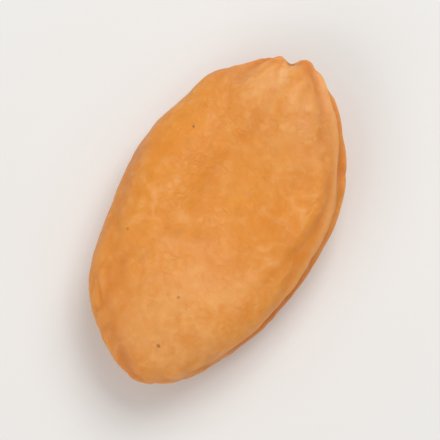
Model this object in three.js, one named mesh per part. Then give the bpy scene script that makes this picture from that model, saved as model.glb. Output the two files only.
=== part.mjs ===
// A dried apricot: one whole fruit, opened only at the stem end to take the stone out, then
// dried until it lies flat. It is a single piece of flesh and skin.
//
// Millimetres. +Z is up, +Y points to the stem end and +X goes across the fruit. The origin is
// on the surface that the fruit lies on, under the middle of its outline.

import * as THREE from "three";
import { mergeVertices } from "three/addons/utils/BufferGeometryUtils.js";

// Size of the fruit as it lies.
const LENGTH = 38;
const WIDTH = 22.7;
const THICKNESS = 10;

// The skin is a net of triangles on a sphere, each edge of its twenty faces cut this often.
// The net is drawn towards the stem end and squeezed towards the rim, where the detail is.
const NET_DETAIL = 19;
const NET_TO_STEM = 0.25;
const NET_TO_RIM = 0.8;

// Outline seen from above, as a share of a plain oval, at even turns from +X to the stem end
// and on round the fruit. The right side below is drawn in, and the left shoulder is pinched.
const FULLNESS = [
  0.91, 1.08, 0.96, 0.99, 0.96, 0.87, 1.0, 1.08,
  0.99, 1.08, 1.05, 1.03, 0.99, 0.91, 0.86, 0.92,
];
const OUTLINE_SHARPNESS = 14;
const PINCH = { turn: 2.6, width: 0.2, depth: 0.07 };

// Half thickness in the middle, and how much the plump ring round it stands above that.
const UPPER_FACE = { middle: 3.9, ring: 3.2 };
const LOWER_FACE = { middle: 4.9, ring: 1.5 };
const RING_START = 0.62;
const FACE_BLEND = 0.35;
const STEM_THINNING = 0.08;

// The dried fruit doesn't lie quite flat: its ends curl up and it is wrung a little.
const END_CURL = 1.1;
const SIDE_CURL = 0.2;
const WRING = 0.55;

// Height, under the middle plane, of the flat spot that the fruit rests on, and how softly
// the round flesh runs into it.
const REST_LEVEL = -4.6;
const REST_SOFTNESS = 0.2;

// Broad hollows, and swellings where the depth is negative.
const DENTS = [
  { face: "upper", x: -1.5, y: 4, across: 4, along: 6.5, depth: 0.45 },
  { face: "upper", x: 3.5, y: -5, across: 3.6, along: 4.6, depth: 0.3 },
  { face: "upper", x: 3, y: 12, across: 3.6, along: 3.6, depth: -0.35 },
  { face: "upper", x: -3.6, y: -10, across: 4.2, along: 5, depth: -0.35 },
  { face: "upper", x: -8.2, y: 10, across: 2.6, along: 3.4, depth: 0.35 },
  { face: "lower", x: -5, y: 9, across: 3.4, along: 5, depth: 0.7 },
  { face: "lower", x: 5.5, y: -9.5, across: 3.4, along: 4.2, depth: 0.6 },
  { face: "lower", x: -4, y: -13, across: 3, along: 3, depth: 0.4 },
];

// Uneven shrinking, as a sum of waves that run through the flesh every way.
const SHRINKING = { seed: 11, waves: 14, shortest: 7, longest: 14, height: 0.16 };

// Creases that run from end to end under the skin's own tension, each a short stretch of a
// line from the stem end to the tip. Places are angles: 0 at the stem end, half a turn at the
// tip. The upper face dried smoother than the sides and the lower face.
const CREASES = {
  seed: 77,
  count: 44,
  middle: [0.35, 2.8],
  reach: [0.22, 0.6],
  width: [0.55, 1.1],
  depth: [0.1, 0.34],
  drift: [-0.55, 0.55],
};
const CREASE_WAVER = 0.1;
const CREASE_WAVER_RATE = 4;
const SMOOTH_FACE = 0.55;
const SMOOTH_FACE_FROM = 0.1;
const SMOOTH_FACE_TO = 0.7;

// Short folds gathered round the stem end.
const STEM_FOLDS = {
  seed: 5,
  count: 9,
  shuffle: [-0.3, 0.3],
  width: [0.35, 0.6],
  depth: [0.1, 0.26],
  reach: [0.28, 0.5],
  middle: 0.2,
};

// The upright hollow that the stalk left, its proud lip, and the small blunt point at the other
// end. Each fades out over a stretch of the way from the middle to its own end.
const STALK_HOLLOW = { x: 0.3, z: 1.2, across: 0.9, upright: 2.4, height: -0.7 };
const STALK_LIP = { x: 1.8, z: 1.2, across: 0.9, upright: 2.4, height: 0.6 };
const TIP = { x: -1.6, z: 0.3, across: 1.5, upright: 1.5, height: 0.35 };
const END_MARK_FADE = [0.5, 0.85];

// The closed slit at the stem end where the stone was pressed out, with swollen lips.
const MOUTH = {
  left: [-5.2, -3.2],
  right: [3.4, 5.4],
  level: 0.3,
  wave: 0.3,
  waveLength: 10.7,
  wavePhase: 0.6,
  width: 0.34,
  depth: 1.8,
};
const LIPS = { offset: 0.9, width: 0.55, height: 0.24 };

// The groove down the right edge where the fruit's two halves meet. Its run is measured
// by the turn round the outline, and its height on the rim by the latitude.
const SUTURE = {
  start: [-1.4, -0.3],
  end: [1.15, 1.5],
  latitude: 0.2,
  waver: 0.05,
  waverRate: 2.1,
  waverPhase: 0.6,
  fall: 0.12,
  fallFrom: 0.9,
  width: 0.42,
  depth: 0.26,
};
const SUTURE_LIPS = { offset: 0.95, width: 0.5, height: 0.14 };

// Radius that turns a latitude on the rim into a length.
const RIM_RADIUS = 6;
// Half height of the fruit round its long axis, for lengths measured along a crease's side.
const CORE_HEIGHT = 5;

// Colour and gloss of the skin.
const SKIN_COLOUR = 0xe39850;
const SKIN_ROUGHNESS = 0.55;

const HALF_LENGTH = LENGTH / 2;
const HALF_WIDTH = WIDTH / 2;
const FULL_TURN = 2 * Math.PI;

/** Even draws between two values, the same for the same seed. */
function makeDraws(seed) {
  const factor = 48271;
  const modulus = 2147483647;
  let state = seed;
  return ([low, high]) => {
    state = (state * factor) % modulus;
    return low + ((high - low) * state) / modulus;
  };
}

/** A bump of height 1 at 0 that fades to nothing past about 2. */
function bell(distance) {
  return Math.exp(-distance * distance);
}

/** A soft step from 0 to 1 between two values. */
function softStep([from, to], value) {
  return THREE.MathUtils.smoothstep(value, from, to);
}

/** An angle brought to within half a turn of 0. */
function nearestTurn(angle) {
  return angle - FULL_TURN * Math.floor(angle / FULL_TURN + 0.5);
}

/** Share of the plain oval's radius that the outline has at a turn. */
function fullness(turn) {
  const step = FULL_TURN / FULLNESS.length;
  let total = 0;
  let weights = 0;
  FULLNESS.forEach((share, i) => {
    const weight = Math.exp(OUTLINE_SHARPNESS * (Math.cos(turn - i * step) - 1));
    total += share * weight;
    weights += weight;
  });
  return total / weights - PINCH.depth * bell(nearestTurn(turn - PINCH.turn) / PINCH.width);
}

/** The plane waves whose sum is the uneven shrinking. */
function drawShrinkingWaves() {
  const draw = makeDraws(SHRINKING.seed);
  const waves = [];
  let power = 0;
  for (let i = 0; i < SHRINKING.waves; i++) {
    const rise = draw([-1, 1]);
    const heading = draw([0, FULL_TURN]);
    const length = draw([SHRINKING.shortest, SHRINKING.longest]);
    const phase = draw([0, FULL_TURN]);
    const level = Math.sqrt(1 - rise * rise);
    const direction = new THREE.Vector3(
      level * Math.cos(heading),
      level * Math.sin(heading),
      rise,
    ).multiplyScalar(FULL_TURN / length);
    waves.push({ direction, length, phase });
    power += (length * length) / 2;
  }
  for (const wave of waves) wave.height = (SHRINKING.height * wave.length) / Math.sqrt(power);
  return waves;
}

/** The creases along the body: line, stretch, width and depth of each. */
function drawCreases() {
  const draw = makeDraws(CREASES.seed);
  return Array.from({ length: CREASES.count }, () => ({
    line: draw([0, FULL_TURN]),
    middle: draw(CREASES.middle),
    reach: draw(CREASES.reach),
    width: draw(CREASES.width),
    depth: draw(CREASES.depth),
    drift: draw(CREASES.drift),
    phase: draw([0, FULL_TURN]),
  }));
}

/** The folds round the stem end, spread evenly and then shuffled a little. */
function drawStemFolds() {
  const draw = makeDraws(STEM_FOLDS.seed);
  return Array.from({ length: STEM_FOLDS.count }, (_, i) => ({
    line: (FULL_TURN * (i + draw(STEM_FOLDS.shuffle))) / STEM_FOLDS.count,
    width: draw(STEM_FOLDS.width),
    depth: draw(STEM_FOLDS.depth),
    reach: draw(STEM_FOLDS.reach),
  }));
}

const shrinkingWaves = drawShrinkingWaves();
const creases = drawCreases();
const stemFolds = drawStemFolds();

/**
 * Where a direction from the fruit's middle meets the plain plump body, and how that place
 * is named: turn round the outline, latitude on the rim, and longitude and colatitude about
 * the long axis.
 */
function bodyPlace(direction) {
  const { x: across, y: along, z: up } = direction;
  const reach = Math.hypot(across, along);
  const turn = Math.atan2(along, across);
  const share = 1 + (fullness(turn) - 1) * reach * reach;
  const upper = softStep([-FACE_BLEND, FACE_BLEND], up);
  const middle = THREE.MathUtils.lerp(LOWER_FACE.middle, UPPER_FACE.middle, upper);
  const ring = THREE.MathUtils.lerp(LOWER_FACE.ring, UPPER_FACE.ring, upper);
  const height = (middle + ring * (1 - bell(reach / RING_START))) * (1 - STEM_THINNING * along);
  const colatitude = Math.acos(THREE.MathUtils.clamp(along, -1, 1));
  const longitude = Math.atan2(up, across);
  const girth = Math.hypot(HALF_WIDTH * Math.sin(longitude), CORE_HEIGHT * Math.cos(longitude));
  return {
    point: new THREE.Vector3(HALF_WIDTH * across * share, HALF_LENGTH * along * share, up * height),
    outward: new THREE.Vector3(across / HALF_WIDTH, along / HALF_LENGTH, up / RIM_RADIUS).normalize(),
    up,
    upper,
    turn,
    latitude: Math.asin(THREE.MathUtils.clamp(up, -1, 1)),
    colatitude,
    longitude,
    girth: Math.sin(colatitude) * girth,
    along,
  };
}

/** Height of the uneven shrinking at a place. */
function shrinking({ point }) {
  return shrinkingWaves.reduce(
    (sum, wave) => sum + wave.height * Math.sin(point.dot(wave.direction) + wave.phase),
    0,
  );
}

/** Depth of the broad hollows at a place. */
function dentDepth({ point, upper }) {
  return DENTS.reduce((sum, dent) => {
    const onFace = dent.face === "upper" ? upper : 1 - upper;
    const away = Math.hypot((point.x - dent.x) / dent.across, (point.y - dent.y) / dent.along);
    return sum + dent.depth * onFace * bell(away);
  }, 0);
}

/** Depth of the creases and of the folds round the stem end, less on the smooth upper face. */
function creaseDepth({ up, colatitude, longitude, girth }) {
  let depth = 0;
  for (const crease of creases) {
    const along = colatitude - crease.middle;
    const waver = CREASE_WAVER * Math.sin(CREASE_WAVER_RATE * colatitude + crease.phase);
    const line = crease.line + crease.drift * along + waver;
    const gap = nearestTurn(longitude - line) * girth;
    depth += crease.depth * bell(gap / crease.width) * bell(along / crease.reach);
  }
  for (const fold of stemFolds) {
    const gap = nearestTurn(longitude - fold.line) * girth;
    const along = colatitude - STEM_FOLDS.middle;
    depth += fold.depth * bell(gap / fold.width) * bell(along / fold.reach);
  }
  return depth * (1 - SMOOTH_FACE * softStep([SMOOTH_FACE_FROM, SMOOTH_FACE_TO], up));
}

/** Height of a groove's two swollen lips at a distance from its middle. */
function lipHeight(lips, distance) {
  return lips.height * bell((Math.abs(distance) - lips.offset) / lips.width);
}

/** Height of the suture: a groove between two low lips. */
function sutureHeight({ turn, latitude }) {
  const ended = softStep(SUTURE.end, turn);
  const run = softStep(SUTURE.start, turn) * (1 - ended);
  const waver = SUTURE.waver * Math.sin(SUTURE.waverRate * turn + SUTURE.waverPhase);
  const fall = SUTURE.fall * softStep([SUTURE.fallFrom, SUTURE.end[1]], turn);
  const distance = (latitude - SUTURE.latitude - waver + fall) * RIM_RADIUS;
  const groove = SUTURE.depth * bell(distance / SUTURE.width);
  return run * (lipHeight(SUTURE_LIPS, distance) - groove);
}

/** The mouth at a place: how much of it is there, and the height above its closed line. */
function mouthAt({ point, along }) {
  if (along <= 0) return { share: 0, distance: 0 };
  const share = softStep(MOUTH.left, point.x) * (1 - softStep(MOUTH.right, point.x));
  const wave = Math.sin((FULL_TURN * point.x) / MOUTH.waveLength + MOUTH.wavePhase);
  return { share, distance: point.z - MOUTH.level - MOUTH.wave * wave };
}

/** Height of a hollow or bump at one end, seen along the fruit. */
function endMarkHeight(mark, point, toEnd) {
  const away = Math.hypot((point.x - mark.x) / mark.across, (point.z - mark.z) / mark.upright);
  return mark.height * softStep(END_MARK_FADE, toEnd) * bell(away);
}

/** Height of the stalk's hollow and lip at the stem end, and of the blunt tip at the other. */
function endHeight({ point, along }) {
  const hollow = endMarkHeight(STALK_HOLLOW, point, along);
  const lip = endMarkHeight(STALK_LIP, point, along);
  return hollow + lip + endMarkHeight(TIP, point, -along);
}

/** A height over the surface that the fruit lies on, flattened softly where it is below. */
function settled(height) {
  if (height > REST_SOFTNESS) return height;
  return Math.max(height + REST_SOFTNESS, 0) ** 2 / (4 * REST_SOFTNESS);
}

/** The point of the finished skin in a direction from the fruit's middle. */
function skinPoint(direction) {
  const place = bodyPlace(direction);
  const { point, outward } = place;
  const mouth = mouthAt(place);
  const curl =
    END_CURL * (point.y / HALF_LENGTH) ** 2 +
    SIDE_CURL * (point.x / HALF_WIDTH) ** 2 +
    WRING * (point.x / HALF_WIDTH) * (point.y / HALF_LENGTH);
  const relief =
    shrinking(place) -
    dentDepth(place) -
    creaseDepth(place) +
    sutureHeight(place) +
    endHeight(place) +
    mouth.share * lipHeight(LIPS, mouth.distance);
  const slit = MOUTH.depth * mouth.share * bell(mouth.distance / MOUTH.width);
  const skin = point.clone().addScaledVector(outward, relief);
  skin.y -= slit;
  skin.z = settled(skin.z + curl - REST_LEVEL);
  return skin;
}

/** Moves and stretches a geometry to the fruit's stated size, over the origin. */
function fitToSize(geometry) {
  geometry.computeBoundingBox();
  const size = geometry.boundingBox.getSize(new THREE.Vector3());
  const centre = geometry.boundingBox.getCenter(new THREE.Vector3());
  geometry.translate(-centre.x, -centre.y, -geometry.boundingBox.min.z);
  geometry.scale(WIDTH / size.x, LENGTH / size.y, THICKNESS / size.z);
}

/** The closed skin of the whole fruit. */
function makeFruitGeometry() {
  const sphere = new THREE.IcosahedronGeometry(1, NET_DETAIL);
  sphere.deleteAttribute("normal");
  sphere.deleteAttribute("uv");
  const geometry = mergeVertices(sphere);
  const position = geometry.getAttribute("position");
  for (let i = 0; i < position.count; i++) {
    const direction = new THREE.Vector3().fromBufferAttribute(position, i);
    direction.y += NET_TO_STEM;
    direction.z *= NET_TO_RIM;
    const { x, y, z } = skinPoint(direction.normalize());
    position.setXYZ(i, x, y, z);
  }
  fitToSize(geometry);
  geometry.computeVertexNormals();
  return geometry;
}

const skin = new THREE.MeshStandardMaterial({
  color: SKIN_COLOUR,
  roughness: SKIN_ROUGHNESS,
  metalness: 0,
});
const fruit = new THREE.Mesh(makeFruitGeometry(), skin);
fruit.name = "dried_apricot";

const part = new THREE.Group();
part.add(fruit);

export default part;
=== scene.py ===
"""A pitted dried apricot, lying on a pale floor in soft studio light.

The skin is worked out by formula, in millimetres, from the same named sizes as the solid part,
and stretched to the frame's box. Geometry Nodes raise its fine relief, and its finish is a
procedural material in object coordinates and the skin's own attributes.
"""

import logging
import math
from collections.abc import Iterable, Mapping, Sequence
from dataclasses import astuple, dataclass, field
from enum import Enum
from functools import partial, reduce

import bpy
import numpy as np
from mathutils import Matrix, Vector


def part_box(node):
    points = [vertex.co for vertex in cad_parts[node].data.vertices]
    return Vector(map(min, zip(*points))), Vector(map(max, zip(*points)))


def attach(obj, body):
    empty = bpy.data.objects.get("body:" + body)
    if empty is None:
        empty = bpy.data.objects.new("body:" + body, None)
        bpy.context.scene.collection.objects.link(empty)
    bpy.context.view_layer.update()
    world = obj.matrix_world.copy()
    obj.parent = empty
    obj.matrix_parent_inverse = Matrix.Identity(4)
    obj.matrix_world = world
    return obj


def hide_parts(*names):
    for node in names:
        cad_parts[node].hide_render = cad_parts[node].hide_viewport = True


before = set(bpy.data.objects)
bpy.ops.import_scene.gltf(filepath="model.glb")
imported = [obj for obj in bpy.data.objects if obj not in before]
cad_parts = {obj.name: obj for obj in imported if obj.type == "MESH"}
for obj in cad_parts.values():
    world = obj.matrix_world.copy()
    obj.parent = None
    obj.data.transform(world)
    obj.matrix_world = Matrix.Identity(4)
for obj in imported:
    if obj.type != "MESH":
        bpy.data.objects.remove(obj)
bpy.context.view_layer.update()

NODE = "dried_apricot"
BODY = "root"
SLOT = "apricot_skin"
PIECE = "fruit_skin"

MM = 0.001
FULL_TURN = 2 * math.pi
ANY_TURN = (0, FULL_TURN)
NOISE_MIDDLE = 0.5

Array = np.ndarray
Colour = tuple[float, float, float]
Span = tuple[float, float]
Socket = bpy.types.NodeSocket
Sockets = Mapping[str, Socket]
Outputs = Sequence[Socket]
Feed = Socket | float | str | tuple[float, ...] | bpy.types.Material

log = logging.getLogger("apricot")


def bell(distance: Array) -> Array:
    """A bump of height 1 at 0 that fades to nothing past about 2."""
    return np.exp(-distance * distance)


def soft_step(span: Span, value: Array) -> Array:
    """A soft step, from 0 before a span of the value to 1 after it."""
    share = np.clip((value - span[0]) / (span[1] - span[0]), 0, 1)
    return share * share * (3 - 2 * share)


def nearest_turn(angle: Array) -> Array:
    """An angle brought to within half a turn of 0."""
    return angle - FULL_TURN * np.floor(angle / FULL_TURN + 0.5)


def blended(start: float, end: float, share: Array) -> Array:
    """Start where the share is 0, end where it is 1."""
    return start + (end - start) * share


class Face(Enum):
    """The two broad faces of a flattened fruit, with 1 for up and -1 for down."""

    UPPER = 1
    LOWER = -1


class Draws:
    """Even draws between two values, the same for the same seed."""

    FACTOR = 48271
    MODULUS = 2147483647

    def __init__(self, seed: int) -> None:
        """Starts the row of draws at a seed."""
        self.state = seed

    def between(self, span: Span) -> float:
        """The next draw between the two ends of a span."""
        self.state = self.state * self.FACTOR % self.MODULUS
        return span[0] + (span[1] - span[0]) * self.state / self.MODULUS

    def row(self, *spans: Span) -> list[float]:
        """The next draws, one between the ends of each span."""
        return [self.between(span) for span in spans]


@dataclass
class Place:
    """Where directions from the fruit's middle meet its plain plump body, in millimetres."""

    point: Array
    outward: Array
    up: Array
    upper: Array
    turn: Array
    latitude: Array
    colatitude: Array
    longitude: Array
    girth: Array
    along: Array

    def share_on(self, face: Face) -> Array:
        """How much each place is on a face, from 0 to 1."""
        return self.upper if face is Face.UPPER else 1 - self.upper


@dataclass
class Skin:
    """The finished skin's points, in millimetres, and the marks that its finish follows."""

    points: Array
    marks: dict[str, Array] = field(default_factory=dict)


@dataclass(frozen=True)
class Dent:
    """A broad hollow in a face, or a swelling where its depth is negative."""

    face: Face
    x: float
    y: float
    across: float
    along: float
    depth: float

    def depth_at(self, place: Place) -> Array:
        """How deep the hollow is at each place."""
        across, along = (place.point[:, :2] - (self.x, self.y)).T / [[self.across], [self.along]]
        return self.depth * place.share_on(self.face) * bell(np.hypot(across, along))


@dataclass(frozen=True)
class Pinch:
    """A narrow hollow in the outline, on the left shoulder."""

    turn: float = 2.6
    width: float = 0.2
    depth: float = 0.07

    def depth_at(self, turn: Array) -> Array:
        """How deep the pinch is at each turn, as a share of a plain oval."""
        return self.depth * bell(nearest_turn(turn - self.turn) / self.width)


@dataclass(frozen=True)
class Shrinking:
    """Uneven shrinking, as a sum of waves that run through the flesh every way."""

    seed: int = 11
    waves: int = 14
    lengths: Span = (7, 14)
    height: float = 0.16

    def height_at(self, place: Place) -> Array:
        """Height of the shrinking's relief.

        Args:
            place: Places on the plain body.

        Returns:
            A height at each place.
        """
        draws = Draws(self.seed)
        total = np.zeros(len(place.point))
        power = 0.0
        for _ in range(self.waves):
            rise, heading, length, phase = draws.row((-1, 1), ANY_TURN, self.lengths, ANY_TURN)
            level = math.sqrt(1 - rise * rise)
            way = np.array([level * math.cos(heading), level * math.sin(heading), rise])
            total += length * np.sin(place.point @ way * FULL_TURN / length + phase)
            power += length * length / 2
        return self.height * total / math.sqrt(power)


@dataclass(frozen=True)
class Creases:
    """Creases from end to end, each a short stretch of a line from the stem end to the tip."""

    seed: int = 77
    count: int = 44
    middle: Span = (0.35, 2.8)
    reach: Span = (0.22, 0.6)
    width: Span = (0.55, 1.1)
    depth: Span = (0.1, 0.34)
    drift: Span = (-0.55, 0.55)
    waver: float = 0.1
    waver_rate: float = 4.0

    def depth_at(self, place: Place) -> Array:
        """How deep the creases are.

        Args:
            place: Places on the plain body.

        Returns:
            A depth at each place.
        """
        draws = Draws(self.seed)
        total = np.zeros(len(place.point))
        spans = (ANY_TURN, self.middle, self.reach, self.width, self.depth, self.drift, ANY_TURN)
        for _ in range(self.count):
            line, middle, reach, width, depth, drift, phase = draws.row(*spans)
            along = place.colatitude - middle
            waver = self.waver * np.sin(self.waver_rate * place.colatitude + phase)
            gap = nearest_turn(place.longitude - line - drift * along - waver) * place.girth
            total += depth * bell(gap / width) * bell(along / reach)
        return total


@dataclass(frozen=True)
class StemFolds:
    """Short folds gathered round the stem end, spread evenly and then shuffled a little."""

    seed: int = 5
    count: int = 9
    shuffle: Span = (-0.3, 0.3)
    width: Span = (0.35, 0.6)
    depth: Span = (0.1, 0.26)
    reach: Span = (0.28, 0.5)
    middle: float = 0.2

    def depth_at(self, place: Place) -> Array:
        """How deep the folds are.

        Args:
            place: Places on the plain body.

        Returns:
            A depth at each place.
        """
        draws = Draws(self.seed)
        total = np.zeros(len(place.point))
        for fold in range(self.count):
            shuffle, width, depth, reach = draws.row(self.shuffle, self.width, self.depth, self.reach)
            line = FULL_TURN * (fold + shuffle) / self.count
            gap = nearest_turn(place.longitude - line) * place.girth
            total += depth * bell(gap / width) * bell((place.colatitude - self.middle) / reach)
        return total


@dataclass(frozen=True)
class EndMark:
    """A hollow or bump at one end of the fruit, seen along its length."""

    x: float
    z: float
    across: float
    upright: float
    height: float
    fade: Span = (0.5, 0.85)

    def share_at(self, place: Place, to_end: Array) -> Array:
        """How much of the mark is at each place, by how far that is on the way to the mark's end."""
        across, upright = (place.point[:, ::2] - (self.x, self.z)).T / [[self.across], [self.upright]]
        return soft_step(self.fade, to_end) * bell(np.hypot(across, upright))


@dataclass(frozen=True)
class Lips:
    """The two swollen lips of a groove."""

    offset: float
    width: float
    height: float

    def height_at(self, distance: Array) -> Array:
        """Height of the lips at a distance from the groove's middle."""
        return self.height * bell((np.abs(distance) - self.offset) / self.width)


@dataclass(frozen=True)
class Mouth:
    """The closed slit at the stem end where the stone was pressed out."""

    left: Span = (-5.2, -3.2)
    right: Span = (3.4, 5.4)
    level: float = 0.3
    wave: float = 0.3
    wave_length: float = 10.7
    wave_phase: float = 0.6
    width: float = 0.34
    depth: float = 1.8
    lips: Lips = Lips(offset=0.9, width=0.55, height=0.24)

    def share_at(self, place: Place) -> Array:
        """How much of the mouth is there at each place, from 0 past its corners to 1."""
        x = place.point[:, 0]
        return soft_step(self.left, x) * (1 - soft_step(self.right, x)) * (place.along > 0)

    def distance_at(self, place: Place) -> Array:
        """Height of each place above the line on which the mouth closes."""
        wave = np.sin(FULL_TURN * place.point[:, 0] / self.wave_length + self.wave_phase)
        return place.point[:, 2] - self.level - self.wave * wave


@dataclass(frozen=True)
class Suture:
    """The groove down the right edge where the fruit's two halves meet."""

    start: Span = (-1.4, -0.3)
    end: Span = (1.15, 1.5)
    latitude: float = 0.2
    waver: float = 0.05
    waver_rate: float = 2.1
    waver_phase: float = 0.6
    fall: float = 0.12
    fall_from: float = 0.9
    width: float = 0.42
    depth: float = 0.26
    lips: Lips = Lips(offset=0.95, width=0.5, height=0.14)

    def run_at(self, place: Place) -> Array:
        """How much of the suture is there at each place, from 0 past its ends to 1."""
        return soft_step(self.start, place.turn) * (1 - soft_step(self.end, place.turn))

    def distance_at(self, place: Place, rim_radius: float) -> Array:
        """Distance of each place from the groove's middle.

        Args:
            place: Where the distance is taken.
            rim_radius: Radius of the rim, in millimetres.

        Returns:
            The distance in millimetres, above 0 where a place is over the middle.
        """
        middle = (
            self.latitude
            + self.waver * np.sin(self.waver_rate * place.turn + self.waver_phase)
            - self.fall * soft_step((self.fall_from, self.end[1]), place.turn)
        )
        return (place.latitude - middle) * rim_radius


@dataclass(frozen=True)
class FaceProfile:
    """Half thickness of a face in the middle, and the rise of the plump ring round it."""

    middle: float
    ring: float


@dataclass
class FruitForm:
    """The shape of the whole fruit, in millimetres, stretched at the end to its stated size."""

    width: float
    length: float
    thickness: float
    fullness: tuple[float, ...] = (
        0.91, 1.08, 0.96, 0.99, 0.96, 0.87, 1.0, 1.08,
        0.99, 1.08, 1.05, 1.03, 0.99, 0.91, 0.86, 0.92,
    )
    outline_sharpness: float = 14
    pinch: Pinch = Pinch()
    upper_face: FaceProfile = FaceProfile(middle=3.9, ring=3.2)
    lower_face: FaceProfile = FaceProfile(middle=4.9, ring=1.5)
    ring_start: float = 0.62
    face_blend: float = 0.35
    stem_thinning: float = 0.08
    end_curl: float = 1.1
    side_curl: float = 0.2
    wring: float = 0.55
    rest_level: float = -4.6
    rest_softness: float = 0.2
    rim_radius: float = 6
    core_height: float = 5
    smooth_face: float = 0.55
    smooth_face_span: Span = (0.1, 0.7)
    dents: tuple[Dent, ...] = (
        Dent(Face.UPPER, x=-1.5, y=4, across=4, along=6.5, depth=0.45),
        Dent(Face.UPPER, x=3.5, y=-5, across=3.6, along=4.6, depth=0.3),
        Dent(Face.UPPER, x=3, y=12, across=3.6, along=3.6, depth=-0.35),
        Dent(Face.UPPER, x=-3.6, y=-10, across=4.2, along=5, depth=-0.35),
        Dent(Face.UPPER, x=-8.2, y=10, across=2.6, along=3.4, depth=0.35),
        Dent(Face.LOWER, x=-5, y=9, across=3.4, along=5, depth=0.7),
        Dent(Face.LOWER, x=5.5, y=-9.5, across=3.4, along=4.2, depth=0.6),
        Dent(Face.LOWER, x=-4, y=-13, across=3, along=3, depth=0.4),
    )
    shrinking: Shrinking = Shrinking()
    creases: Creases = Creases()
    stem_folds: StemFolds = StemFolds()
    stalk_hollow: EndMark = EndMark(x=0.3, z=1.2, across=0.9, upright=2.4, height=-0.7)
    stalk_lip: EndMark = EndMark(x=1.8, z=1.2, across=0.9, upright=2.4, height=0.6)
    tip: EndMark = EndMark(x=-1.6, z=0.3, across=1.5, upright=1.5, height=0.35)
    mouth: Mouth = Mouth()
    suture: Suture = Suture()

    def share_of_oval(self, turn: Array) -> Array:
        """Share of a plain oval's radius that the outline has.

        Args:
            turn: Turns round the fruit, from its right side.

        Returns:
            A share at each turn, from the fullness at even steps with a soft blend between.
        """
        turns = np.linspace(0, FULL_TURN, len(self.fullness), endpoint=False)
        weights = [np.exp(self.outline_sharpness * (np.cos(turn - other) - 1)) for other in turns]
        share = sum(s * w for s, w in zip(self.fullness, weights)) / sum(weights)
        return share - self.pinch.depth_at(turn)

    def place_of(self, directions: Array) -> Place:
        """Where directions from the middle meet the plain plump body.

        Args:
            directions: Unit vectors, one a row.

        Returns:
            The body's points there, and how each is named round the rim and the long axis.
        """
        across, along, up = directions.T
        reach = np.hypot(across, along)
        turn = np.arctan2(along, across)
        share = 1 + (self.share_of_oval(turn) - 1) * reach**2
        upper = soft_step((-self.face_blend, self.face_blend), up)
        middle = blended(self.lower_face.middle, self.upper_face.middle, upper)
        ring = blended(self.lower_face.ring, self.upper_face.ring, upper)
        height = middle + ring * (1 - bell(reach / self.ring_start))
        height = height * (1 - self.stem_thinning * along)
        half_width, half_length = self.width / 2, self.length / 2
        outward = np.stack([across / half_width, along / half_length, up / self.rim_radius], 1)
        colatitude = np.arccos(np.clip(along, -1, 1))
        longitude = np.arctan2(up, across)
        girth = np.hypot(half_width * np.sin(longitude), self.core_height * np.cos(longitude))
        return Place(
            point=np.stack([half_width * across * share, half_length * along * share, up * height], 1),
            outward=outward / np.linalg.norm(outward, axis=1, keepdims=True),
            up=up,
            upper=upper,
            turn=turn,
            latitude=np.arcsin(np.clip(up, -1, 1)),
            colatitude=colatitude,
            longitude=longitude,
            girth=np.sin(colatitude) * girth,
            along=along,
        )

    def curl_at(self, place: Place) -> Array:
        """How far the dried fruit has curled up and been wrung at each place."""
        across, along = place.point[:, :2].T / [[self.width / 2], [self.length / 2]]
        return self.end_curl * along**2 + self.side_curl * across**2 + self.wring * across * along

    def settled(self, height: Array) -> Array:
        """Heights over the surface that the fruit lies on, flattened softly where below it."""
        soft = np.maximum(height + self.rest_softness, 0) ** 2 / (4 * self.rest_softness)
        return np.where(height > self.rest_softness, height, soft)

    def fitted(self, points: Array) -> Array:
        """Points moved and stretched to the fruit's stated size, over the origin."""
        shares = (points - points.min(0)) / np.ptp(points, 0) - (0.5, 0.5, 0)
        return shares * (self.width, self.length, self.thickness)

    def skin(self, directions: Array) -> Skin:
        """The finished skin in some directions from the fruit's middle.

        Args:
            directions: Unit vectors, one a row.

        Returns:
            The skin's points, and its marks from 0 to 1: crease, suture, the suture's upper lip,
            mouth, stalk and rim.
        """
        place = self.place_of(directions)
        smooth = self.smooth_face * soft_step(self.smooth_face_span, place.up)
        creases = self.creases.depth_at(place) + self.stem_folds.depth_at(place)
        creases *= 1 - smooth
        dents = sum(dent.depth_at(place) for dent in self.dents)
        mouth_share = self.mouth.share_at(place)
        mouth_distance = self.mouth.distance_at(place)
        mouth = mouth_share * bell(mouth_distance / self.mouth.width)
        suture_run = self.suture.run_at(place)
        suture_distance = self.suture.distance_at(place, self.rim_radius)
        suture = suture_run * bell(suture_distance / self.suture.width)
        lip = bell((suture_distance - self.suture.lips.offset) / self.suture.lips.width)
        stalk = self.stalk_hollow.share_at(place, place.along)
        stalk_lip = self.stalk_lip.share_at(place, place.along)
        tip = self.tip.share_at(place, -place.along)
        relief = (
            self.shrinking.height_at(place)
            - dents
            - creases
            + suture_run * self.suture.lips.height_at(suture_distance)
            - self.suture.depth * suture
            + self.stalk_hollow.height * stalk
            + self.stalk_lip.height * stalk_lip
            + self.tip.height * tip
            + mouth_share * self.mouth.lips.height_at(mouth_distance)
        )
        points = place.point + place.outward * relief[:, None]
        points[:, 1] -= self.mouth.depth * mouth
        points[:, 2] = self.settled(points[:, 2] + self.curl_at(place) - self.rest_level)
        marks = {
            "crease": np.clip(creases / self.creases.depth[1], 0, 1),
            "suture": suture,
            "lip": suture_run * lip,
            "mouth": mouth,
            # The suture's upper lip, where the finish paints a highlight.
            "stalk": stalk,
            "rim": 1 - np.abs(place.up),
        }
        return Skin(self.fitted(points), marks)


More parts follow.
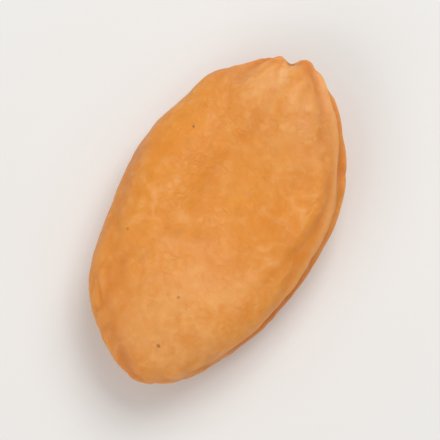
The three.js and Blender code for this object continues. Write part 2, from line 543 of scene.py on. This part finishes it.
@dataclass(frozen=True)
class SkinNet:
    """An even net of squares on a sphere, with the same number along each edge of a cube."""

    cells: int = 128
    weld_decimals: int = 6

    def directions_and_faces(self) -> tuple[Array, Array]:
        """The net's corners and squares.

        Returns:
            Unit directions, one a row, and the four corners of each square, seen from outside
            against the clock.
        """
        steps = np.tan(np.linspace(-math.pi / 4, math.pi / 4, self.cells + 1))
        a, b = np.meshgrid(steps, steps, indexing="ij")
        one = np.ones_like(a)
        sides = [(one, a, b), (-one, b, a), (b, one, a), (a, -one, b), (a, b, one), (b, a, -one)]
        corner = np.arange(one.size).reshape(one.shape)
        square = np.stack(
            [corner[:-1, :-1], corner[1:, :-1], corner[1:, 1:], corner[:-1, 1:]], -1
        ).reshape(-1, 4)
        points = np.concatenate([np.stack(side, -1).reshape(-1, 3) for side in sides])
        points /= np.linalg.norm(points, axis=1, keepdims=True)
        faces = np.concatenate([square + i * one.size for i in range(len(sides))])
        rounded = np.round(points, self.weld_decimals) + 0.0
        _, first, merged = np.unique(rounded, axis=0, return_index=True, return_inverse=True)
        return points[first], merged.reshape(-1)[faces]


class Measure(Enum):
    """What is measured in a pattern of uneven cells."""

    TO_MIDDLE = "F1"
    SOFTLY_TO_MIDDLE = "SMOOTH_F1"
    TO_EDGE = "DISTANCE_TO_EDGE"


@dataclass(frozen=True)
class Ramp:
    """A soft step over a value: where it starts and ends, and the result before and after it."""

    low: float
    high: float
    before: float = 0
    after: float = 1


class Wiring:
    """Adds nodes to a tree and joins them.

    The mix values are the numbers of the sockets that a Mix node has for colours.
    """

    MIX_FIRST = 6
    MIX_SECOND = 7
    MIX_RESULT = 2

    def __init__(self, tree: bpy.types.NodeTree) -> None:
        """Works on one tree."""
        self.tree = tree

    def feed(self, socket: Socket, value: Feed) -> None:
        """Links a socket to another one, or sets its constant.

        Args:
            socket: The one that is fed.
            value: The other socket, or the constant.
        """
        if isinstance(value, Socket):
            self.tree.links.new(value, socket)
        else:
            socket.default_value = value

    def add(
        self,
        kind: str,
        settings: Mapping[str, str] | None = None,
        inputs: Mapping[str | int, Feed] | None = None,
    ) -> bpy.types.Node:
        """Adds a node.

        Args:
            kind: Blender's name for the node's type.
            settings: The node's own properties.
            inputs: What feeds its sockets, by their names or numbers.

        Returns:
            The new node.
        """
        node = self.tree.nodes.new(kind)
        for name, value in (settings or {}).items():
            setattr(node, name, value)
        for name, value in (inputs or {}).items():
            self.feed(node.inputs[name], value)
        return node

    def math(self, operation: str, *values: Feed) -> Socket:
        """The result of one sum, with its values in order."""
        node = self.add("ShaderNodeMath", {"operation": operation}, dict(enumerate(values)))
        return node.outputs[0]

    def vector_math(self, operation: str, *values: Feed) -> Socket:
        """The result of one sum of vectors, with its values in order."""
        node = self.add("ShaderNodeVectorMath", {"operation": operation}, dict(enumerate(values)))
        return node.outputs[0]

    def product(self, *values: Feed) -> Socket:
        """All the values multiplied together."""
        return reduce(partial(self.math, "MULTIPLY"), values)

    def total(self, *values: Feed) -> Socket:
        """All the values added together."""
        return reduce(partial(self.math, "ADD"), values)

    def step(self, value: Feed, ramp: Ramp) -> Socket:
        """A soft step over a value."""
        feeds = dict(enumerate((value, *astuple(ramp))))
        return self.add("ShaderNodeMapRange", {"interpolation_type": "SMOOTHSTEP"}, feeds).outputs[0]

    def noise(self, place: Feed, size: Feed, seed: Feed, detail: float = 1) -> Outputs:
        """Cloudy noise from 0 to 1.

        Args:
            place: Where the noise is read.
            size: Size of its largest clouds, in the unit of the place.
            seed: Picks one of many such noises.
            detail: How many finer clouds are laid over them.

        Returns:
            The noise, and three such noises in one.
        """
        scale = self.math("DIVIDE", 1.0, size)
        feeds = {"Vector": place, "W": seed, "Scale": scale, "Detail": detail}
        return self.add("ShaderNodeTexNoise", {"noise_dimensions": "4D"}, feeds).outputs

    def cells(self, place: Feed, size: Feed, seed: Feed, measure: Measure) -> Outputs:
        """A pattern of uneven cells.

        Args:
            place: Where the pattern is read.
            size: Size of a cell, in the unit of the place.
            seed: Picks one of many such patterns.
            measure: What is measured in a cell.

        Returns:
            The measure. One to the middle comes with three even draws in one for each cell.
        """
        settings = {"voronoi_dimensions": "4D", "feature": measure.value}
        feeds = {"Vector": place, "W": seed, "Scale": self.math("DIVIDE", 1.0, size)}
        return self.add("ShaderNodeTexVoronoi", settings, feeds).outputs

    def pulled_about(self, place: Feed, size: Feed, reach: Feed, seed: Feed) -> Socket:
        """A place pulled about by noise, by less than a reach, so that what is read there bends."""
        shift = self.vector_math("SUBTRACT", self.noise(place, size, seed)[1], (NOISE_MIDDLE,) * 3)
        return self.vector_math("MULTIPLY_ADD", shift, self.joined(reach, reach, reach), place)

    def joined(self, x: Feed, y: Feed, z: Feed) -> Socket:
        """A vector of three numbers."""
        return self.add("ShaderNodeCombineXYZ", None, {0: x, 1: y, 2: z}).outputs[0]

    def parts(self, place: Feed) -> Outputs:
        """The three numbers of a vector."""
        return self.add("ShaderNodeSeparateXYZ", None, {0: place}).outputs

    def mixed(self, share: Feed, first: Feed, second: Feed) -> Socket:
        """Two colours mixed, from the first where the share is 0 to the second where it is 1."""
        feeds = {0: share, self.MIX_FIRST: first, self.MIX_SECOND: second}
        return self.add("ShaderNodeMix", {"data_type": "RGBA"}, feeds).outputs[self.MIX_RESULT]


@dataclass(frozen=True)
class Clouds:
    """Cloudy noise with a soft step over it. Its size is that of the largest clouds."""

    size: float
    seed: float
    detail: float
    ramp: Ramp

    def wired(self, wiring: Wiring, place: Feed) -> Socket:
        """The clouds at a place, from one end of the ramp to the other."""
        return wiring.step(wiring.noise(place, self.size, self.seed, self.detail)[0], self.ramp)


@dataclass(frozen=True)
class BrokenNet:
    """A net of bent uneven cells, which shows more in some patches than in others.

    Its sizes are multiples of a unit that it is given, and its seeds are added to a given one.
    """

    measure: Measure
    profile: Ramp
    bend_size: float
    bend_reach: float
    patch_size: float
    patches: Ramp
    cell_size: float = 1.0
    cell_seed: float = 0.0
    bend_seed: float = 0.0
    patch_seed: float = 0.0

    def wired(self, wiring: Wiring, place: Feed, drawn: Feed, unit: Feed, seed: Feed) -> Socket:
        """The net at a place.

        Args:
            wiring: Adds the nodes.
            place: Where the patches are read.
            drawn: Where the cells are read: the same place, or one drawn out one way.
            unit: The length that the net's sizes are multiples of.
            seed: Picks one of many such nets.

        Returns:
            The socket that holds the net, from one end of its profile to the other.
        """
        cell_size, bend_size, bend_reach, patch_size = (
            wiring.product(unit, share)
            for share in (self.cell_size, self.bend_size, self.bend_reach, self.patch_size)
        )
        cell_seed, bend_seed, patch_seed = (
            wiring.total(seed, shift) for shift in (self.cell_seed, self.bend_seed, self.patch_seed)
        )
        bent = wiring.pulled_about(drawn, bend_size, bend_reach, bend_seed)
        measured = wiring.cells(bent, cell_size, cell_seed, self.measure)[0]
        patches = wiring.noise(place, patch_size, patch_seed)[0]
        return wiring.product(wiring.step(measured, self.profile), wiring.step(patches, self.patches))


@dataclass(frozen=True)
class Spots:
    """Round spots in some of a pattern's uneven cells, bent a little, in millimetres.

    Its cell's even draw settles whether a spot shows. It fades from its middle over the cell.
    """

    size: float
    seed: float
    bend_size: float
    bend_reach: float
    bend_seed: float
    chance: Ramp
    fading: Ramp
    share: float

    def wired(self, wiring: Wiring, place: Feed) -> Socket:
        """The spots at a place.

        Args:
            wiring: Adds the nodes.
            place: Where the spots are read, in millimetres.

        Returns:
            The socket that holds how much of a spot there is.
        """
        bent = wiring.pulled_about(place, self.bend_size, self.bend_reach, self.bend_seed)
        cells = wiring.cells(bent, self.size, self.seed, Measure.TO_MIDDLE)
        shown = wiring.step(wiring.parts(cells[1])[0], self.chance)
        return wiring.product(wiring.step(cells[0], self.fading), shown, self.share)


@dataclass
class SkinRelief:
    """Fine relief of the skin, in millimetres.

    It has soft swells, low round pebbles, a broken net of fine raised veins, and short wrinkles,
    which are valleys that run lengthwise and are deeper near the rim.
    """

    swell_size: float = 4.0
    swell_height: float = 0.16
    pebble_size: float = 1.3
    pebble_height: float = 0.035
    wrinkle_size: float = 2.2
    wrinkle_height: float = -0.13
    vein_size: float = 5.0
    vein_height: float = 0.04
    lengthwise: float = 0.5
    floor_gap: float = 0.5
    seed: int = 7
    pebbles: BrokenNet = BrokenNet(
        measure=Measure.SOFTLY_TO_MIDDLE,
        profile=Ramp(0.15, 0.75, 1, -1),
        bend_size=1.6,
        bend_reach=0.9,
        patch_size=5.0,
        patches=Ramp(0.3, 0.7, 0.35, 1),
    )
    veins: BrokenNet = BrokenNet(
        measure=Measure.TO_EDGE,
        profile=Ramp(0, 0.06, 1, 0),
        bend_size=0.45,
        bend_reach=0.7,
        patch_size=1.3,
        patches=Ramp(0.42, 0.66),
        patch_seed=3,
    )
    wrinkles: BrokenNet = BrokenNet(
        measure=Measure.TO_EDGE,
        profile=Ramp(0, 0.24, 1, 0),
        bend_size=0.9,
        bend_reach=0.9,
        patch_size=2.2,
        patches=Ramp(0.34, 0.62),
        patch_seed=9,
    )
    wrinkles_by_rim: Ramp = Ramp(0.25, 0.75, 0.3, 1)
    marks: tuple[str, ...] = ("pebble", "vein", "wrinkle")

    def inputs(self) -> dict[str, float]:
        """The tree's named inputs.

        Returns:
            Their values by name, lengths in metres.
        """
        return {
            "Swell Size": self.swell_size * MM,
            "Swell Height": self.swell_height * MM,
            "Pebble Size": self.pebble_size * MM,
            "Pebble Height": self.pebble_height * MM,
            "Wrinkle Size": self.wrinkle_size * MM,
            "Wrinkle Height": self.wrinkle_height * MM,
            "Vein Size": self.vein_size * MM,
            "Vein Height": self.vein_height * MM,
            "Lengthwise": self.lengthwise,
            "Floor Gap": self.floor_gap * MM,
            "Seed": float(self.seed),
        }

    def patterns(self, wiring: Wiring, place: Feed, given: Sockets) -> dict[str, Socket]:
        """The parts of the relief before they get their heights.

        Args:
            wiring: The tree's wiring.
            place: Points of the smooth skin, in metres.
            given: The tree's inputs by name.

        Returns:
            Swells and pebbles from -1 to 1, and veins and wrinkles from 0 to 1, by name.
        """
        x, y, z = wiring.parts(place)
        drawn = wiring.joined(x, wiring.product(y, given["Lengthwise"]), z)
        rim = wiring.add("GeometryNodeInputNamedAttribute", {"data_type": "FLOAT"}, {"Name": "rim"})
        seed = given["Seed"]
        swells = wiring.math("SUBTRACT", wiring.noise(place, given["Swell Size"], seed)[0], NOISE_MIDDLE)
        wrinkles = self.wrinkles.wired(wiring, place, drawn, given["Wrinkle Size"], seed)
        return {
            "swell": wiring.product(swells, 1 / NOISE_MIDDLE),
            "pebble": self.pebbles.wired(wiring, place, place, given["Pebble Size"], seed),
            "vein": self.veins.wired(wiring, place, place, given["Vein Size"], seed),
            "wrinkle": wiring.product(wrinkles, wiring.step(rim.outputs[0], self.wrinkles_by_rim)),
        }

    def tree(self, material: bpy.types.Material) -> bpy.types.NodeTree:
        """Builds the tree that raises the relief.

        Args:
            material: The finish that the tree puts on the skin.

        Returns:
            The tree, with one named input for each size.
        """
        tree = bpy.data.node_groups.new("skin_relief", "GeometryNodeTree")
        for way in ("INPUT", "OUTPUT"):
            tree.interface.new_socket("Geometry", in_out=way, socket_type="NodeSocketGeometry")
        for name in self.inputs():
            tree.interface.new_socket(name, in_out="INPUT", socket_type="NodeSocketFloat")
        wiring = Wiring(tree)
        given = {socket.name: socket for socket in wiring.add("NodeGroupInput").outputs}
        place = wiring.add("GeometryNodeInputPosition").outputs[0]
        patterns = self.patterns(wiring, place, given)
        geometry = given["Geometry"]
        for name in self.marks:
            geometry = wiring.add(
                "GeometryNodeStoreNamedAttribute",
                {"data_type": "FLOAT", "domain": "POINT"},
                {"Geometry": geometry, "Name": name, "Value": patterns[name]},
            ).outputs[0]
        heights = (wiring.product(patterns[name], given[f"{name.title()} Height"]) for name in patterns)
        above_floor = wiring.math("DIVIDE", wiring.parts(place)[2], given["Floor Gap"])
        height = wiring.product(wiring.total(*heights), wiring.step(above_floor, Ramp(0, 1)))
        normal = wiring.add("GeometryNodeInputNormal").outputs[0]
        shift = wiring.vector_math("MULTIPLY", normal, wiring.joined(height, height, height))
        feeds = {"Geometry": geometry, "Offset": shift}
        raised = wiring.add("GeometryNodeSetPosition", None, feeds).outputs[0]
        real = wiring.add("GeometryNodeRealizeInstances", None, {"Geometry": raised}).outputs[0]
        feeds = {"Geometry": real, "Material": material}
        dressed = wiring.add("GeometryNodeSetMaterial", None, feeds).outputs[0]
        wiring.add("NodeGroupOutput", None, {"Geometry": dressed})
        return tree

    def raise_on(self, piece: bpy.types.Object, material: bpy.types.Material) -> bpy.types.Mesh:
        """Raises the relief on a piece.

        Args:
            piece: The smooth skin.
            material: The finish that goes on it.

        Returns:
            A plain mesh of the finished skin. The piece is left as it was.
        """
        modifier = piece.modifiers.new("relief", "NODES")
        modifier.node_group = self.tree(material)
        items = modifier.node_group.interface.items_tree
        sockets = {item.name: item.identifier for item in items if item.in_out == "INPUT"}
        for name, value in self.inputs().items():
            modifier[sockets[name]] = value
        bpy.context.view_layer.update()
        seen = piece.evaluated_get(bpy.context.evaluated_depsgraph_get())
        mesh = bpy.data.meshes.new_from_object(seen)
        piece.modifiers.remove(modifier)
        return mesh


@dataclass(frozen=True)
class Patch:
    """A soft round patch of another tint on a face, in millimetres from the middle."""

    face: Face
    x: float
    y: float
    reach: float
    share: float
    rim_fade: Span = (-0.3, 0.6)

    def share_at(self, points: Array, up: Array) -> Array:
        """How much of the patch is at each point, where up is 1 on top and -1 underneath."""
        away = np.hypot(points[:, 0] - self.x, points[:, 1] - self.y) / self.reach
        return self.share * soft_step(self.rim_fade, up * self.face.value) * bell(away)


@dataclass(frozen=True)
class SkinFinish:
    """The colours, gloss and pores of the fruit's skin, with lengths in millimetres."""

    amber: Colour = (0.80, 0.31, 0.042)
    deep: Colour = (0.72, 0.245, 0.022)
    peach: Colour = (0.80, 0.395, 0.13)
    vein: Colour = (0.90, 0.47, 0.17)
    # Painted shade: a darker, deeper orange laid in the creases, the wrinkles and the suture's groove.
    crease: Colour = (0.56, 0.14, 0.014)
    blush: Colour = (0.47, 0.12, 0.035)
    speck: Colour = (0.17, 0.06, 0.008)
    smudge: Colour = (0.52, 0.20, 0.022)
    # A pale corky scar round the stalk's hollow, partly a painted highlight at the stem notch.
    dry_scar_and_highlight: Colour = (0.88, 0.52, 0.24)
    # The slit's inner flesh, a deep brown-orange, darkened further as painted shade.
    slit_flesh_and_shade: Colour = (0.22, 0.045, 0.008)
    # Pale patches: partly a paler peach tone, partly a painted highlight where the light falls, as at the
    # upper right.
    pale_and_highlight_patches: tuple[Patch, ...] = (
        Patch(Face.UPPER, x=-0.5, y=-13, reach=7.5, share=0.9),
        Patch(Face.UPPER, x=6, y=-6, reach=4, share=0.35),
        Patch(Face.UPPER, x=4.5, y=14.5, reach=6.5, share=1.0),
        Patch(Face.UPPER, x=-3, y=15, reach=4, share=0.6),
        Patch(Face.UPPER, x=-9, y=-3, reach=5, share=0.1),
        Patch(Face.LOWER, x=2, y=3, reach=9, share=0.6),
    )
    blush_patches: tuple[Patch, ...] = (
        Patch(Face.LOWER, x=-7, y=6, reach=6.5, share=0.6),
        Patch(Face.LOWER, x=6, y=-12, reach=5, share=0.4),
    )
    clouds: Clouds = Clouds(size=7, seed=2, detail=3, ramp=Ramp(0.36, 0.66, 0, 0.6))
    haze: Clouds = Clouds(size=4, seed=5, detail=4, ramp=Ramp(0.25, 0.7, 0.45, 1))
    pale_mottle: Clouds = Clouds(size=1.1, seed=8, detail=3, ramp=Ramp(0.52, 0.68, 0, 0.4))
    deep_mottle: Clouds = Clouds(size=1.1, seed=8, detail=3, ramp=Ramp(0.48, 0.32, 0, 0.45))
    flush: Clouds = Clouds(size=3, seed=11, detail=4, ramp=Ramp(0.3, 0.7, 0.2, 1))
    pebble_tops: Ramp = Ramp(0.1, 0.9, 0, 0.25)
    # Painted shade in the gaps between the pebbles.
    pebble_gap_shade: Ramp = Ramp(-0.2, -0.9, 0, 0.3)
    vein_share: float = 0.3
    # Painted shade in the wrinkles' valleys.
    wrinkle_shade_share: float = 0.3
    # How strongly painted shade darkens the creases, more near the rim than on top.
    crease_shade_by_rim: Ramp = Ramp(0.1, 0.7, 0.15, 0.45)
    # Painted shade in the suture's groove.
    suture_shade_share: float = 0.3
    # Painted highlight on the suture's upper lip, where it faces the light.
    lip_highlight_share: float = 0.45
    smudges: Spots = Spots(
        size=2.7,
        seed=43,
        bend_size=1.6,
        bend_reach=1.5,
        bend_seed=41,
        chance=Ramp(0.3, 0.9),
        fading=Ramp(0, 0.38, 1, 0),
        share=0.5,
    )
    specks: Spots = Spots(
        size=1.9,
        seed=17,
        bend_size=0.5,
        bend_reach=0.35,
        bend_seed=13,
        chance=Ramp(0.35, 0.85),
        fading=Ramp(0.04, 0.14, 1, 0),
        share=0.75,
    )
    # Ring of the pale corky scar, partly a painted highlight at the stem notch.
    dry_and_highlight_from: Ramp = Ramp(0.1, 0.45)
    dry_and_highlight_until: Ramp = Ramp(0.45, 0.8, 1, 0)
    dry_and_highlight_bits: Clouds = Clouds(size=0.9, seed=51, detail=3, ramp=Ramp(0.42, 0.62, 0, 0.6))
    stalk_bed: Ramp = Ramp(0.7, 1, 0, 0.6)
    # How far the slit is darkened: its inner flesh, and painted shade.
    mouth_flesh_and_shade: Ramp = Ramp(0.4, 0.95, 0, 0.92)
    crepe: BrokenNet = BrokenNet(
        measure=Measure.TO_EDGE,
        profile=Ramp(0, 0.3, 1, 0),
        bend_size=0.9,
        bend_reach=0.8,
        patch_size=3.2,
        patches=Ramp(0.3, 0.65, 0.25, 1),
        cell_size=0.95,
        cell_seed=29,
        bend_seed=27,
        patch_seed=25,
    )
    # Painted shade in the crepe's fine creases.
    crepe_shade_share: float = 0.28
    crepe_depth: float = 0.6
    dust_size: float = 0.3
    dust_seed: float = 31
    dust_detail: float = 3
    dust_height: float = 0.5
    pit_size: float = 0.5
    pit_seed: float = 33
    pit_profile: Ramp = Ramp(0, 0.3, -0.3, 0)
    bump_strength: float = 0.8
    bump_height: float = 0.1
    roughness: Clouds = Clouds(size=3, seed=21, detail=3, ramp=Ramp(0.3, 0.7, 0.44, 0.6))
    crease_moisture: float = 0.06
    mouth_moisture: float = 0.2
    ior: float = 1.38
    scatter: float = 0.38
    scatter_tint: Colour = (1.0, 0.38, 0.12)
    scatter_reach: float = 1.6
    sheen: float = 0.03
    sheen_roughness: float = 0.45
    sheen_tint: Colour = (1.0, 0.84, 0.68)
    coat: float = 0.03
    coat_roughness: float = 0.32

    def marks(self, skin: Skin, up: Array) -> dict[str, Array]:
        """Where the skin is pale, partly as a painted highlight, and where it is blushed.

        Args:
            skin: The smooth skin.
            up: 1 on top of the fruit, 0 at its rim and -1 underneath, for each point.

        Returns:
            The two marks by name, from 0 to 1.
        """
        return {
            name: np.clip(sum(p.share_at(skin.points, up) for p in patches), 0, 1)
            for name, patches in {"pale": self.pale_and_highlight_patches, "blush": self.blush_patches}.items()
        }

    def material(self, mark_names: Iterable[str]) -> bpy.types.Material:
        """Builds the procedural material.

        Args:
            mark_names: Names of the attributes that hold the skin's marks.

        Returns:
            A material on object coordinates and those attributes.
        """
        material = bpy.data.materials.new(SLOT)
        material.use_nodes = True
        wiring = Wiring(material.node_tree)
        shader = material.node_tree.nodes["Principled BSDF"]
        place = wiring.add(
            "ShaderNodeMapping",
            {"vector_type": "POINT"},
            {"Vector": wiring.add("ShaderNodeTexCoord").outputs["Object"], "Scale": (1 / MM,) * 3},
        ).outputs[0]
        marks = {
            name: wiring.add("ShaderNodeAttribute", {"attribute_name": name}).outputs["Fac"]
            for name in mark_names
        }
        crepe = self.crepe.wired(wiring, place, place, 1.0, 0.0)
        feeds = {
            "Base Color": self.colour(wiring, place, marks, crepe),
            "Roughness": self.gloss(wiring, place, marks),
            "Normal": self.grain(wiring, place, crepe),
            "IOR": self.ior,
            "Subsurface Weight": self.scatter,
            "Subsurface Radius": self.scatter_tint,
            "Subsurface Scale": self.scatter_reach * MM,
            "Sheen Weight": self.sheen,
            "Sheen Roughness": self.sheen_roughness,
            "Sheen Tint": (*self.sheen_tint, 1),
            "Coat Weight": self.coat,
            "Coat Roughness": self.coat_roughness,
        }
        for name, value in feeds.items():
            wiring.feed(shader.inputs[name], value)
        return material

    def colour(self, wiring: Wiring, place: Feed, marks: Sockets, crepe: Feed) -> Socket:
        """The skin's colour, as tints laid one over another. Some tints are painted shade, darker in the
        creases, wrinkles, crepe, pebble gaps, suture groove and slit, and some are painted highlights,
        paler on the suture's upper lip, round the stalk's hollow and in parts of the pale patches.

        Args:
            wiring: The material's wiring.
            place: Object coordinates in millimetres.
            marks: The skin's marks by name.
            crepe: The net of fine creases.

        Returns:
            The socket that holds the colour.
        """
        # Painted shade in the creases, stronger near the rim.
        crease_shade = wiring.product(marks["crease"], wiring.step(marks["rim"], self.crease_shade_by_rim))
        layers = (
            (self.clouds.wired(wiring, place), self.deep),
            # pale patches, partly a painted highlight
            (wiring.product(marks["pale"], self.haze.wired(wiring, place)), self.peach),
            (self.pale_mottle.wired(wiring, place), self.peach),
            (self.deep_mottle.wired(wiring, place), self.deep),
            (wiring.step(marks["pebble"], self.pebble_tops), self.vein),
            # painted shade in the gaps between the pebbles
            (wiring.step(marks["pebble"], self.pebble_gap_shade), self.deep),
            # painted shade in the crepe's fine creases
            (wiring.product(crepe, self.crepe_shade_share), self.deep),
            (wiring.product(marks["vein"], self.vein_share), self.vein),
            # painted shade in the wrinkles' valleys
            (wiring.product(marks["wrinkle"], self.wrinkle_shade_share), self.crease),
            # painted shade in the creases
            (crease_shade, self.crease),
            # painted shade in the suture's groove
            (wiring.product(marks["suture"], self.suture_shade_share), self.crease),
            # painted highlight on the suture's upper lip
            (wiring.product(marks["lip"], self.lip_highlight_share), self.vein),
            (wiring.product(marks["blush"], self.flush.wired(wiring, place)), self.blush),
            (self.smudges.wired(wiring, place), self.smudge),
            (self.specks.wired(wiring, place), self.speck),
            # pale corky scar, partly a painted highlight at the stem notch
            (self.dry_scar_and_highlight_ring(wiring, place, marks["stalk"]), self.dry_scar_and_highlight),
            (wiring.step(marks["stalk"], self.stalk_bed), self.speck),
            # the slit's inner flesh, with painted shade
            (wiring.step(marks["mouth"], self.mouth_flesh_and_shade), self.slit_flesh_and_shade),
        )
        colour = (*self.amber, 1)
        for share, tint in layers:
            colour = wiring.mixed(share, colour, (*tint, 1))
        return colour

    def dry_scar_and_highlight_ring(self, wiring: Wiring, place: Feed, stalk: Feed) -> Socket:
        """The pale corky scar round the stalk's hollow, partly a painted highlight at the stem notch,
        broken up a little.
        """
        ring = wiring.product(wiring.step(stalk, self.dry_and_highlight_from), wiring.step(stalk, self.dry_and_highlight_until))
        return wiring.product(ring, self.dry_and_highlight_bits.wired(wiring, place))

    def gloss(self, wiring: Wiring, place: Feed, marks: Sockets) -> Socket:
        """The skin's roughness: satin, and a little moist in the creases and the mouth.

        Args:
            wiring: The material's wiring.
            place: Object coordinates in millimetres.
            marks: The skin's marks by name.

        Returns:
            The socket that holds the roughness.
        """
        moist = wiring.total(
            wiring.product(marks["crease"], self.crease_moisture),
            wiring.product(marks["mouth"], self.mouth_moisture),
        )
        return wiring.math("SUBTRACT", self.roughness.wired(wiring, place), moist)

    def grain(self, wiring: Wiring, place: Feed, crepe: Feed) -> Socket:
        """The fine creases, pits and grain of the skin, as a bumped normal.

        Args:
            wiring: The material's wiring.
            place: Object coordinates in millimetres.
            crepe: The net of fine creases.

        Returns:
            The socket that holds the normal.
        """
        dust = wiring.noise(place, self.dust_size, self.dust_seed, self.dust_detail)[0]
        pits = wiring.cells(place, self.pit_size, self.pit_seed, Measure.TO_MIDDLE)[0]
        height = wiring.total(
            wiring.product(dust, self.dust_height),
            wiring.step(pits, self.pit_profile),
            wiring.product(crepe, -self.crepe_depth),
        )
        feeds = {"Strength": self.bump_strength, "Distance": self.bump_height * MM, "Height": height}
        return wiring.add("ShaderNodeBump", None, feeds).outputs[0]


@dataclass
class DriedApricot:
    """The whole fruit: its form, the fine relief of its skin and its finish."""

    form: FruitForm
    net: SkinNet = field(default_factory=SkinNet)
    relief: SkinRelief = field(default_factory=SkinRelief)
    finish: SkinFinish = field(default_factory=SkinFinish)

    @classmethod
    def in_box(cls, low: Vector, high: Vector) -> "DriedApricot":
        """A fruit of the size of a box between two corners, in metres."""
        width, length, thickness = (high - low) / MM
        return cls(FruitForm(width=width, length=length, thickness=thickness))

    def build(self) -> bpy.types.Object:
        """Makes the smooth skin with its marks.

        Returns:
            The piece, at the origin.
        """
        directions, faces = self.net.directions_and_faces()
        skin = self.form.skin(directions)
        mesh = bpy.data.meshes.new(PIECE)
        mesh.from_pydata((skin.points * MM).tolist(), [], faces.tolist())
        marks = {**skin.marks, **self.finish.marks(skin, directions[:, 2])}
        for name, values in marks.items():
            mark = mesh.attributes.new(name, "FLOAT", "POINT")
            mark.data.foreach_set("value", values.astype(np.float32))
        mesh.shade_smooth()
        piece = bpy.data.objects.new(PIECE, mesh)
        bpy.context.scene.collection.objects.link(piece)
        return piece

    def dress(self, piece: bpy.types.Object) -> None:
        """Raises the fine relief on the skin, gives it its finish and ties it to the frame.

        Args:
            piece: The smooth skin.
        """
        smooth = piece.data
        marks = [mark.name for mark in smooth.attributes if mark.data_type == "FLOAT"]
        material = self.finish.material([*marks, *self.relief.marks])
        piece.data = self.relief.raise_on(piece, material)
        piece.data.shade_smooth()
        bpy.data.meshes.remove(smooth)
        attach(piece, BODY)
        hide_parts(NODE)


@dataclass
class Studio:
    """A plain pale floor and soft light."""

    floor_reach: float = 3.0
    floor_colour: Colour = (0.84, 0.83, 0.81)
    floor_shade: float = 0.985
    floor_clouds: Clouds = Clouds(size=0.05, seed=1, detail=2, ramp=Ramp(0.3, 0.7))
    floor_roughness: float = 0.75
    sky_colour: Colour = (1.0, 0.985, 0.965)
    sky_strength: float = 0.47
    key_place: Vector = field(default_factory=lambda: Vector((0.025, 0.2, 0.27)))
    key_size: float = 0.2
    key_power: float = 0.625
    fill_place: Vector = field(default_factory=lambda: Vector((-0.1, -0.24, 0.2)))
    fill_size: float = 0.24
    fill_power: float = 0.31

    def floor(self) -> None:
        """Lays the floor."""
        mesh = bpy.data.meshes.new("floor")
        reach = self.floor_reach
        corners = [(-reach, -reach, 0), (reach, -reach, 0), (reach, reach, 0), (-reach, reach, 0)]
        mesh.from_pydata(corners, [], [(0, 1, 2, 3)])
        material = bpy.data.materials.new("floor")
        material.use_nodes = True
        wiring = Wiring(material.node_tree)
        shader = material.node_tree.nodes["Principled BSDF"]
        tone = self.floor_clouds.wired(wiring, wiring.add("ShaderNodeTexCoord").outputs["Object"])
        darker = (self.floor_shade * part for part in self.floor_colour)
        colour = wiring.mixed(tone, (*self.floor_colour, 1), (*darker, 1))
        wiring.feed(shader.inputs["Base Color"], colour)
        wiring.feed(shader.inputs["Roughness"], self.floor_roughness)
        mesh.materials.append(material)
        floor = bpy.data.objects.new("floor", mesh)
        bpy.context.scene.collection.objects.link(floor)

    def sky(self) -> None:
        """Fills the room with even pale light."""
        world = bpy.data.worlds.new("room")
        world.use_nodes = True
        background = world.node_tree.nodes["Background"]
        background.inputs["Color"].default_value = (*self.sky_colour, 1)
        background.inputs["Strength"].default_value = self.sky_strength
        bpy.context.scene.world = world

    @staticmethod
    def softbox(name: str, place: Vector, size: float, power: float) -> None:
        """Hangs a square soft light that faces the fruit.

        Args:
            name: The light's name.
            place: Where it hangs, in metres.
            size: Its side.
            power: Its power in watts.
        """
        light = bpy.data.lights.new(name, "AREA")
        light.size = size
        light.energy = power
        lamp = bpy.data.objects.new(name, light)
        lamp.location = place
        lamp.rotation_mode = "QUATERNION"
        lamp.rotation_quaternion = (-place).to_track_quat("-Z", "Y")
        bpy.context.scene.collection.objects.link(lamp)

    def build(self) -> None:
        """Sets up the floor, the room and the lights."""
        self.floor()
        self.sky()
        self.softbox("key", self.key_place, self.key_size, self.key_power)
        self.softbox("fill", self.fill_place, self.fill_size, self.fill_power)
        bpy.context.scene.view_settings.view_transform = "Standard"


@dataclass
class Viewpoint:
    """A camera that looks down on the fruit, with its stem end leaning to the right."""

    lean: float = 22.8
    elevation: float = 83.0
    lens: float = 150.0
    frame_share: float = 0.78
    sensor: float = 36.0

    def build(self, low: Vector, high: Vector) -> None:
        """Sets up the camera.

        Args:
            low: The fruit's lowest corner, in metres.
            high: Its highest corner.
        """
        turn, rise = math.radians(self.lean), math.radians(self.elevation)
        back = Vector((math.sin(turn) * math.cos(rise), -math.cos(turn) * math.cos(rise), math.sin(rise)))
        width, length, _ = high - low
        tall = math.hypot(length * math.cos(turn), width * math.sin(turn))
        camera = bpy.data.cameras.new("camera")
        camera.lens = self.lens
        camera.sensor_width = self.sensor
        camera.clip_start = MM
        distance = tall / self.frame_share * self.lens / self.sensor
        eye = bpy.data.objects.new("camera", camera)
        eye.location = (low + high) / 2 + back * distance
        eye.rotation_mode = "QUATERNION"
        eye.rotation_quaternion = (-back).to_track_quat("-Z", "Y")
        bpy.context.scene.collection.objects.link(eye)
        bpy.context.scene.camera = eye


def main() -> None:
    """Builds the fruit, the studio and the camera, and reports each piece."""
    logging.basicConfig(level=logging.INFO, format="%(name)s: %(message)s")
    low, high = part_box(NODE)
    Viewpoint().build(low, high)
    Studio().build()
    fruit = DriedApricot.in_box(low, high)
    piece = fruit.build()
    fruit.dress(piece)
    log.info("%s: %d faces on body %s", piece.name, len(piece.data.polygons), BODY)


if __name__ == "__main__":
    main()
